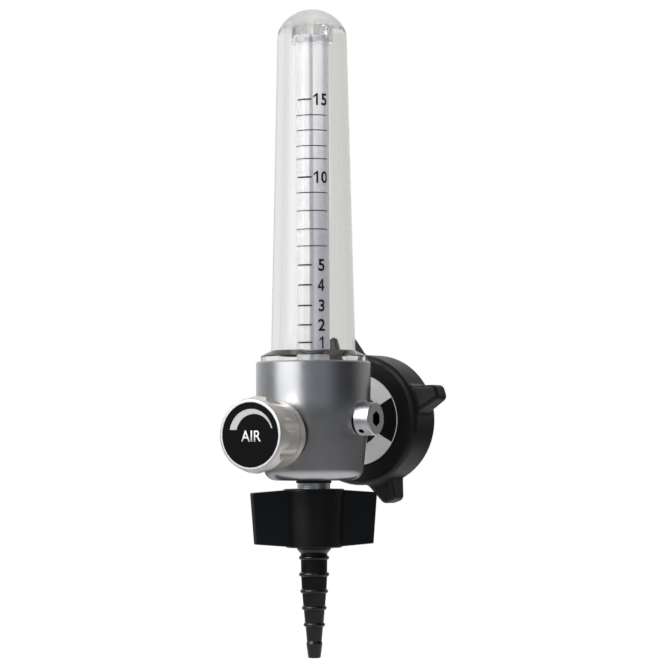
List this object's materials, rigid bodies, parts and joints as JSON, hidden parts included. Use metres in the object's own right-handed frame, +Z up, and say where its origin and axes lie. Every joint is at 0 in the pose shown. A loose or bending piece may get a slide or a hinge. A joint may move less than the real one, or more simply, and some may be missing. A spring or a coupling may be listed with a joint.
{
  "type": "air flowmeter",
  "caption": "Wall-outlet air flowmeter: turned valve body, clear upright flow tube, fluted knob, lobed handwheel inlet and a wing nut with a barbed hose tail.",
  "frame": {"origin": "on the inlet axis, at the shoulder where the inlet probe starts", "axes": "+Y along the inlet probe into the wall outlet, +Z up along the flow tube, -Y to the control knob, +X to the side plug"},
  "size_m": [0.0566, 0.0896, 0.2152],
  "materials": {
    "body_chrome": "satin chrome plate on turned brass",
    "bright_chrome": "bright chrome plate",
    "turned_brass": "turned, bare",
    "nickel_knob": "satin nickel plate with polished rims",
    "clear_cover": "clear moulded polycarbonate",
    "clear_tube": "clear moulded tube, slightly milky",
    "black_wheel": "satin moulded black plastic",
    "black_gloss": "glossy moulded black plastic",
    "label_film": "printed film, silver and black",
    "black_rubber": "nitrile rubber",
    "clear_rubber": "pale silicone",
    "guide_plastic": "clear moulded plastic",
    "float_steel": "ground steel ball",
    "sintered": "sintered bronze",
    "screw_steel": "stainless steel"
  },
  "bodies": {
    "root": {"valve_body": "body_chrome", "tube_cover": "clear_cover", "cover_seal": "clear_rubber", "flow_tube": "clear_tube", "tube_top_guide": "guide_plastic", "tube_base_seal": "clear_rubber", "tube_seat": "bright_chrome", "inlet_extension": "bright_chrome", "inlet_extension_seal": "black_rubber", "inlet_stem": "turned_brass", "inlet_filter": "sintered", "index_sleeve": "turned_brass", "probe_seal": "black_rubber", "valve_bonnet": "bright_chrome", "bonnet_seal": "black_rubber", "side_plug": "bright_chrome", "side_plug_seal": "black_rubber", "outlet_nipple": "bright_chrome", "outlet_seal": "black_rubber"},
    "float": {"float_ball": "float_steel"},
    "spindle_seal": {"spindle_oring": "black_rubber"},
    "knob": {"control_knob": "nickel_knob", "knob_label": "label_film", "knob_screw": "screw_steel", "needle_spindle": "screw_steel"},
    "hose_tail": {"hose_tail": "black_gloss", "outlet_gasket": "black_rubber"},
    "wing_nut": {"wing_nut": "black_gloss"},
    "handwheel": {"handwheel": "black_wheel", "handwheel_insert": "turned_brass", "handwheel_label": "label_film"}
  },
  "joints": [
    {"name": "float_rise", "type": "slide", "parent": "root", "child": "float", "axis": [0, 0, 1], "range_m": [0, 0.1105]},
    {"name": "spindle_travel", "type": "slide", "parent": "root", "child": "spindle_seal", "axis": [0, -1, 0], "range_m": [0, 0.0015]},
    {"name": "knob_turn", "type": "hinge", "parent": "spindle_seal", "child": "knob", "pos_m": [0, -0.07, -0.0052], "axis": [0, -1, 0], "range_deg": [0, 540]},
    {"name": "tail_travel", "type": "slide", "parent": "root", "child": "hose_tail", "axis": [0, 0, -1], "range_m": [0, 0.00705]},
    {"name": "nut_turn", "type": "hinge", "parent": "hose_tail", "child": "wing_nut", "pos_m": [0, -0.037, -0.03], "axis": [0, 0, -1], "range_deg": [0, 1800]},
    {"name": "wheel_spin", "type": "hinge", "parent": "root", "child": "handwheel", "pos_m": [0, 0, 0], "axis": [0, 1, 0], "continuous": true}
  ],
  "couplings": [
    {"joint": "knob_turn", "follows": "spindle_travel", "rad_per_m": 6283.2},
    {"joint": "nut_turn", "follows": "tail_travel", "rad_per_m": 4452.8}
  ]
}
